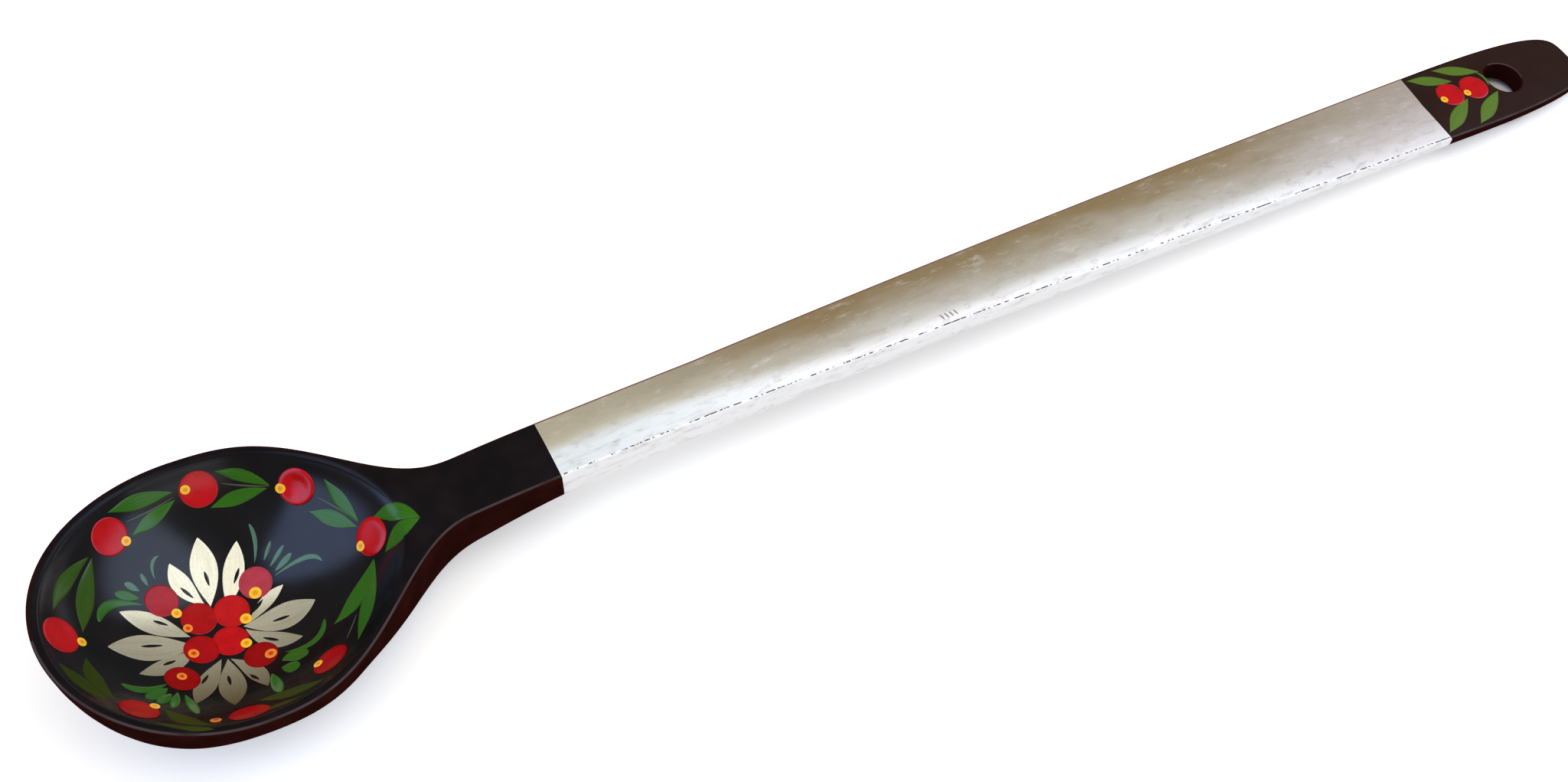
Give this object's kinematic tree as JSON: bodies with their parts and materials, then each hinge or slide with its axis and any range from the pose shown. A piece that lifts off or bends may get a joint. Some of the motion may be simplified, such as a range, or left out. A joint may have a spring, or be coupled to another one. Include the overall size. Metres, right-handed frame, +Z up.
{
  "type": "painted wooden spoon",
  "caption": "Long-handled carved wooden serving spoon, lacquered black, with a metallic painted handle and a folk pattern of berries, petals and leaves in its bowl.",
  "frame": {"origin": "on the surface the spoon lies on, under the widest section of the bowl, in the flat that is sanded on the belly", "axes": "+X along the handle, from the bowl to the hanging hole; +Y across; +Z up out of the open bowl"},
  "size_m": [0.4239, 0.069, 0.0327],
  "materials": {
    "black_lacquer": "carved wood under a deep black gloss lacquer",
    "metal_powder_coat": "silver and pale gold metal powder under clear varnish, finely scuffed",
    "cream_paint": "cream and silver brush strokes under varnish",
    "red_paint": "glossy red berries with yellow dots",
    "green_paint": "glossy green leaves",
    "teal_paint": "thin glossy blue-green strokes"
  },
  "bodies": {
    "root": {"bouquet_berry_1": "red_paint", "bouquet_berry_2": "red_paint", "bouquet_berry_3": "red_paint", "bouquet_berry_4": "red_paint", "bouquet_berry_5": "red_paint", "bouquet_berry_6": "red_paint", "bouquet_berry_7": "red_paint", "bouquet_berry_8": "red_paint", "carved_wood": "black_lacquer", "garland_berry_1": "red_paint", "garland_berry_2": "red_paint", "garland_berry_3": "red_paint", "garland_berry_4": "red_paint", "garland_berry_5": "red_paint", "garland_berry_6": "red_paint", "garland_berry_7": "red_paint", "garland_berry_8": "red_paint", "garland_leaf_1_inner": "green_paint", "garland_leaf_1_outer": "green_paint", "garland_leaf_2_inner": "green_paint", "garland_leaf_2_outer": "green_paint", "garland_leaf_3_inner": "green_paint", "garland_leaf_3_outer": "green_paint", "garland_leaf_4_inner": "green_paint", "garland_leaf_4_outer": "green_paint", "garland_leaf_5_inner": "green_paint", "garland_leaf_5_outer": "green_paint", "garland_leaf_6_inner": "green_paint", "garland_leaf_6_outer": "green_paint", "garland_leaf_7_inner": "green_paint", "garland_leaf_7_outer": "green_paint", "garland_leaf_8_inner": "green_paint", "garland_leaf_8_outer": "green_paint", "handle_metal_coat": "metal_powder_coat", "petal_01": "cream_paint", "petal_02": "cream_paint", "petal_03": "cream_paint", "petal_04": "cream_paint", "petal_05": "cream_paint", "petal_06": "cream_paint", "petal_07": "cream_paint", "petal_08": "cream_paint", "petal_09": "cream_paint", "petal_10": "cream_paint", "petal_11": "cream_paint", "petal_12": "cream_paint", "sprig_stroke_1": "teal_paint", "sprig_stroke_2": "teal_paint", "sprig_stroke_3": "teal_paint", "sprig_stroke_4": "teal_paint", "tip_berry_1": "red_paint", "tip_berry_2": "red_paint", "tip_leaf_1": "green_paint", "tip_leaf_2": "green_paint", "tip_leaf_3": "green_paint", "tip_leaf_4": "green_paint"}
  },
  "joints": []
}
